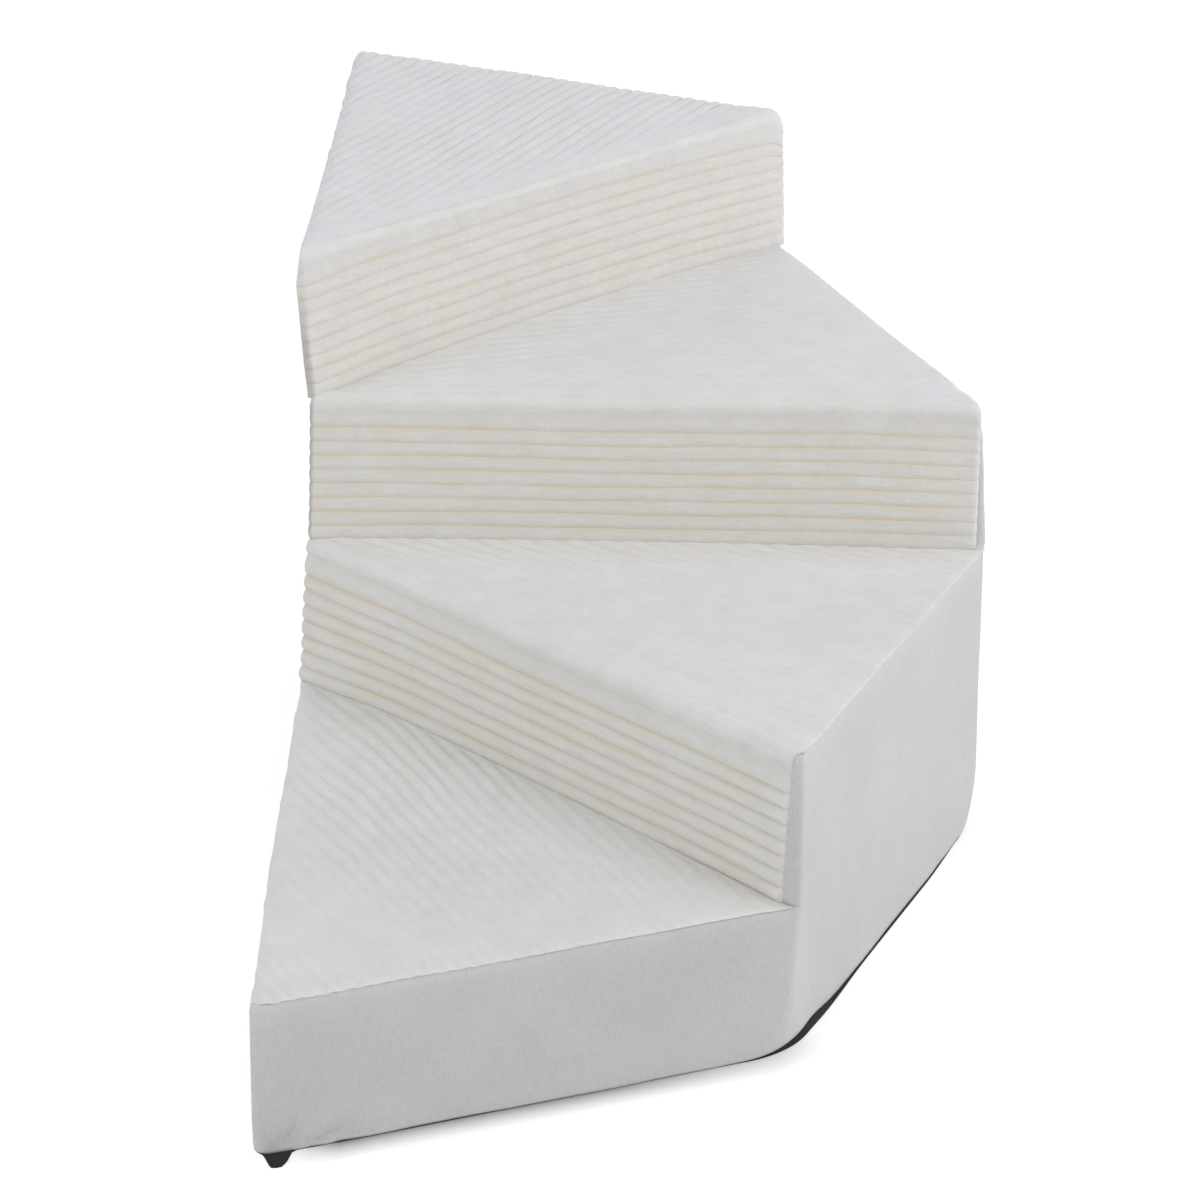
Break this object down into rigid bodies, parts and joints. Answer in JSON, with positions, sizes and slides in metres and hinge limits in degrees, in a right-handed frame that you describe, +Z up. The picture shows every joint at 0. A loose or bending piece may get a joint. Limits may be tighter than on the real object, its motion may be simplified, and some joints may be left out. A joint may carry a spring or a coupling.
{
  "type": "foam pet stairs",
  "caption": "Fan-shaped foam pet stairs that turn round a hub edge, in a ribbed cream plush cover with smooth grey sides, a dark non-slip base and a zip along the flat back.",
  "frame": {"origin": "centre of the bounding box on the floor plane, under the base", "axes": "+X along the flat back from the lowest step to the highest, +Y out of the flat back towards the bed or sofa, +Z up"},
  "size_m": [0.99, 0.5067, 0.46],
  "materials": {
    "foam": "open-cell polyurethane foam, cut faces",
    "plush": "cream wide-rib corduroy plush",
    "velvet": "light grey short-pile velvet",
    "base": "black non-slip cloth with raised dots",
    "zip_tape": "grey woven tape",
    "zip_coil": "grey nylon coil",
    "zip_metal": "nickel-plated"
  },
  "bodies": {
    "stairs": {"foam_layer_1": "foam", "foam_layer_2": "foam", "foam_layer_3": "foam", "foam_layer_4": "foam", "tread_panel_1": "plush", "tread_panel_2": "plush", "tread_panel_3": "plush", "tread_panel_4": "plush", "riser_panel_2": "plush", "riser_panel_3": "plush", "riser_panel_4": "plush", "side_panel": "velvet", "back_panel": "velvet", "base_panel": "base", "zip_tape_upper": "zip_tape", "zip_tape_lower": "zip_tape", "zip_coil_upper": "zip_coil", "zip_coil_lower": "zip_coil", "zip_top_stop_upper": "zip_metal", "zip_top_stop_lower": "zip_metal", "zip_end_stop": "zip_metal"},
    "slider": {"zip_slider": "zip_metal"},
    "pull": {"zip_pull": "zip_metal"}
  },
  "joints": [
    {"name": "zip_slide", "type": "slide", "parent": "stairs", "child": "slider", "axis": [1, 0, 0], "range_m": [0, 0.8124]},
    {"name": "pull_hinge", "type": "hinge", "parent": "slider", "child": "pull", "pos_m": [-0.40623, 0.2512, 0.0169], "axis": [0, 0, 1], "range_deg": [0, 180]}
  ]
}
